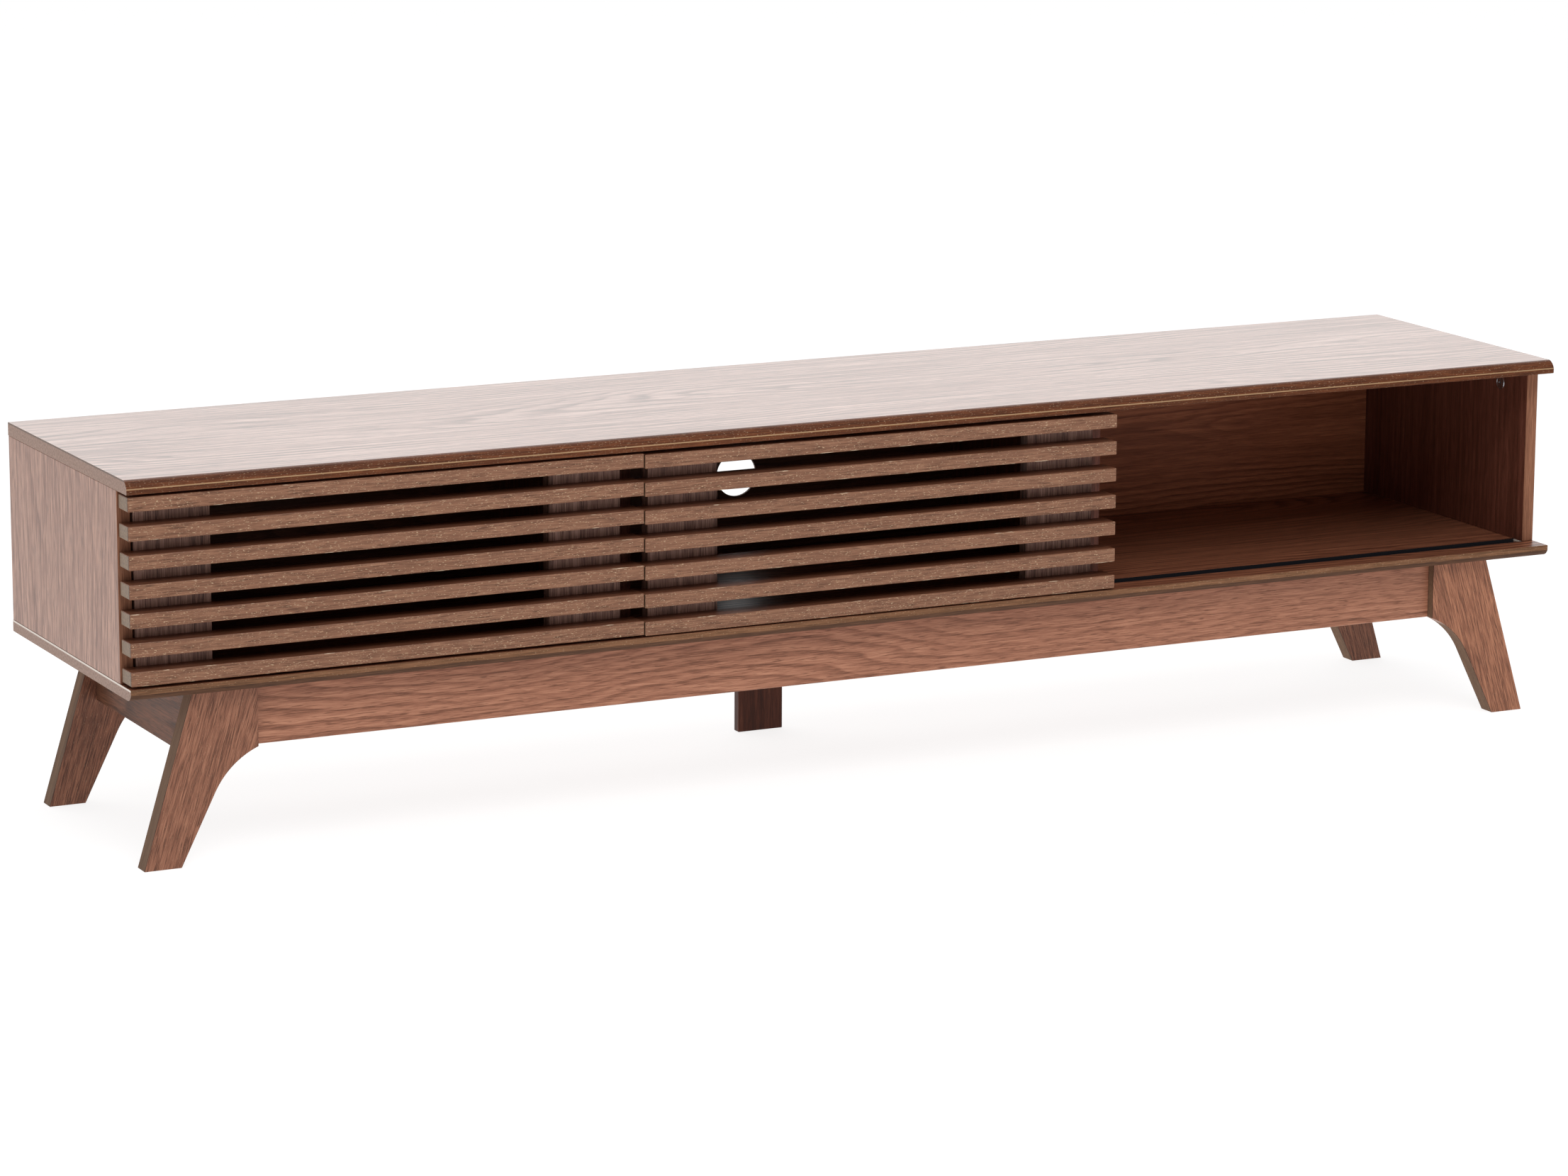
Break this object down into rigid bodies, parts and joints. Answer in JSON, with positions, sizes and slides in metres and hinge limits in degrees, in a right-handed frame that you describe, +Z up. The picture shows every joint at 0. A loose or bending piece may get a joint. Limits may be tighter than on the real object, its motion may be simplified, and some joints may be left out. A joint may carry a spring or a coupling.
{
  "type": "media cabinet",
  "caption": "Low, long media cabinet with open bays, horizontally slatted doors that slide on one track, and splayed board legs.",
  "frame": {"origin": "on the floor under the middle of the cabinet: the middle of the bounding box's base", "axes": "+X along the cabinet from its left end to its right end as seen from the front, -Y out of the front, +Z up"},
  "size_m": [1.8, 0.39, 0.43],
  "materials": {
    "board_long": "satin walnut-look foil on board, grain along the cabinet",
    "board_upright": "satin walnut-look foil on board, upright grain",
    "back_board": "thin board with walnut-look foil, grain along the cabinet",
    "slat": "satin walnut-look foil, plain edge band on the ends",
    "stile": "satin walnut-look foil, upright grain",
    "apron": "satin walnut-look foil, grain along the cabinet",
    "leg": "satin walnut-look foil, grain along the leg",
    "centre_leg": "dark walnut-look foil",
    "track": "black extruded plastic",
    "glide": "black moulded plastic",
    "fitting": "zinc-coated",
    "dowel": "plain beech",
    "pin": "bright steel"
  },
  "bodies": {
    "cabinet": {"top_panel": "board_long", "bottom_panel": "board_long", "side_panel_left": "board_upright", "side_panel_right": "board_upright", "divider_left": "board_upright", "divider_right": "board_upright", "back_panel": "back_board", "track_upper": "track", "track_lower": "track", "front_apron": "apron", "rear_apron": "apron", "side_rail_left": "apron", "side_rail_right": "apron", "leg_front_left": "leg", "leg_front_right": "leg", "leg_rear_left": "leg", "leg_rear_right": "leg", "centre_leg": "centre_leg", "cam_locks": "fitting", "cam_bolts": "fitting", "dowels": "dowel", "carcass_screws": "fitting", "base_cam_locks": "fitting", "base_cam_bolts": "fitting", "base_dowels": "dowel", "angle_brackets": "fitting", "bracket_screws": "fitting", "centre_leg_screws": "fitting", "back_pins": "pin"},
    "left_door": {"left_door_stile_left": "stile", "left_door_stile_right": "stile", "left_door_slat_1": "slat", "left_door_slat_2": "slat", "left_door_slat_3": "slat", "left_door_slat_4": "slat", "left_door_slat_5": "slat", "left_door_slat_6": "slat", "left_door_slat_7": "slat", "left_door_screws": "fitting", "left_door_glides": "glide", "left_door_guides": "glide"},
    "middle_door": {"middle_door_stile_left": "stile", "middle_door_stile_right": "stile", "middle_door_slat_1": "slat", "middle_door_slat_2": "slat", "middle_door_slat_3": "slat", "middle_door_slat_4": "slat", "middle_door_slat_5": "slat", "middle_door_slat_6": "slat", "middle_door_slat_7": "slat", "middle_door_screws": "fitting", "middle_door_glides": "glide", "middle_door_guides": "glide"}
  },
  "joints": [
    {"name": "middle_door_slide", "type": "slide", "parent": "cabinet", "child": "middle_door", "axis": [1, 0, 0], "range_m": [0, 0.5995]},
    {"name": "left_door_slide", "type": "slide", "parent": "cabinet", "child": "left_door", "axis": [1, 0, 0], "range_m": [0, 0.5995]}
  ],
  "couplings": [
    {"joint": "left_door_slide", "follows": "middle_door_slide", "ratio": 1}
  ]
}
